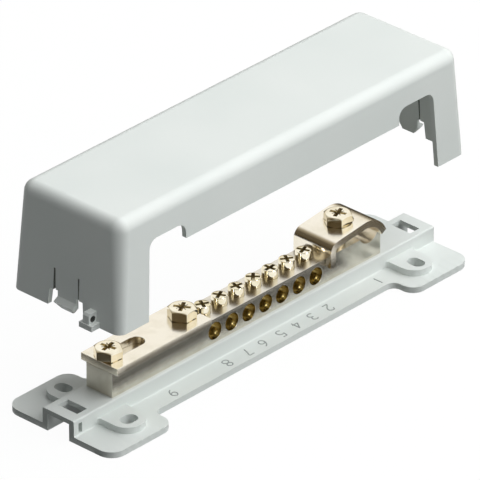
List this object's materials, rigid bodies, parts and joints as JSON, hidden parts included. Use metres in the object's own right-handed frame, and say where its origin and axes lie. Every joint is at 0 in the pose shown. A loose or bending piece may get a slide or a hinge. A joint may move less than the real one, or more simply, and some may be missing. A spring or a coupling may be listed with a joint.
{
  "type": "earth terminal bar",
  "caption": "Metal bar with screw terminals, a strip clamp and a saddle clamp, on a slotted moulded base under a lift-off cover with cable windows.",
  "frame": {"origin": "centre of the mounting face, on the underside of the base", "axes": "+X along the bar towards the saddle clamp, -Y towards the side the wires come in on, +Z out of the wall, the way the cover lifts"},
  "size_m": [0.2, 0.0552, 0.0959],
  "materials": {
    "base_plastic": "light grey moulded plastic",
    "cover_plastic": "light grey moulded plastic",
    "plated_bar": "bright nickel plating on brass",
    "plated_steel": "bright nickel plating on steel sheet",
    "zinc_steel": "zinc plated steel",
    "screw_brass": "plated brass screw with a golden tip"
  },
  "bodies": {
    "base": {"base_plate": "base_plastic", "contact_bar": "plated_bar", "bar_fixing_screw_left": "zinc_steel", "bar_fixing_screw_right": "zinc_steel"},
    "strip_clamp": {"strip_clamp_plate": "plated_steel", "strip_screw_left": "zinc_steel", "strip_screw_right": "zinc_steel"},
    "saddle": {"saddle_clamp": "plated_steel", "saddle_screw": "zinc_steel"},
    "cover": {"cover": "cover_plastic"},
    "screw_2": {"terminal_screw_2": "screw_brass"},
    "screw_3": {"terminal_screw_3": "screw_brass"},
    "screw_4": {"terminal_screw_4": "screw_brass"},
    "screw_5": {"terminal_screw_5": "screw_brass"},
    "screw_6": {"terminal_screw_6": "screw_brass"},
    "screw_7": {"terminal_screw_7": "screw_brass"},
    "screw_8": {"terminal_screw_8": "screw_brass"}
  },
  "joints": [
    {"name": "cover_lift", "type": "slide", "parent": "base", "child": "cover", "axis": [0, 0, 1], "range_m": [-0.04825, 0]},
    {"name": "strip_clamp_travel", "type": "slide", "parent": "base", "child": "strip_clamp", "axis": [0, 0, 1], "range_m": [0, 0.006]},
    {"name": "saddle_travel", "type": "slide", "parent": "base", "child": "saddle", "axis": [0, 0, 1], "range_m": [0, 0.005]},
    {"name": "terminal_2_travel", "type": "slide", "parent": "base", "child": "screw_2", "axis": [0, 0, 1], "range_m": [-0.0015, 0.0045]},
    {"name": "terminal_3_travel", "type": "slide", "parent": "base", "child": "screw_3", "axis": [0, 0, 1], "range_m": [-0.0015, 0.0045]},
    {"name": "terminal_4_travel", "type": "slide", "parent": "base", "child": "screw_4", "axis": [0, 0, 1], "range_m": [-0.0015, 0.0045]},
    {"name": "terminal_5_travel", "type": "slide", "parent": "base", "child": "screw_5", "axis": [0, 0, 1], "range_m": [-0.0015, 0.0045]},
    {"name": "terminal_6_travel", "type": "slide", "parent": "base", "child": "screw_6", "axis": [0, 0, 1], "range_m": [-0.0015, 0.0045]},
    {"name": "terminal_7_travel", "type": "slide", "parent": "base", "child": "screw_7", "axis": [0, 0, 1], "range_m": [-0.0015, 0.0045]},
    {"name": "terminal_8_travel", "type": "slide", "parent": "base", "child": "screw_8", "axis": [0, 0, 1], "range_m": [-0.0015, 0.0045]}
  ]
}
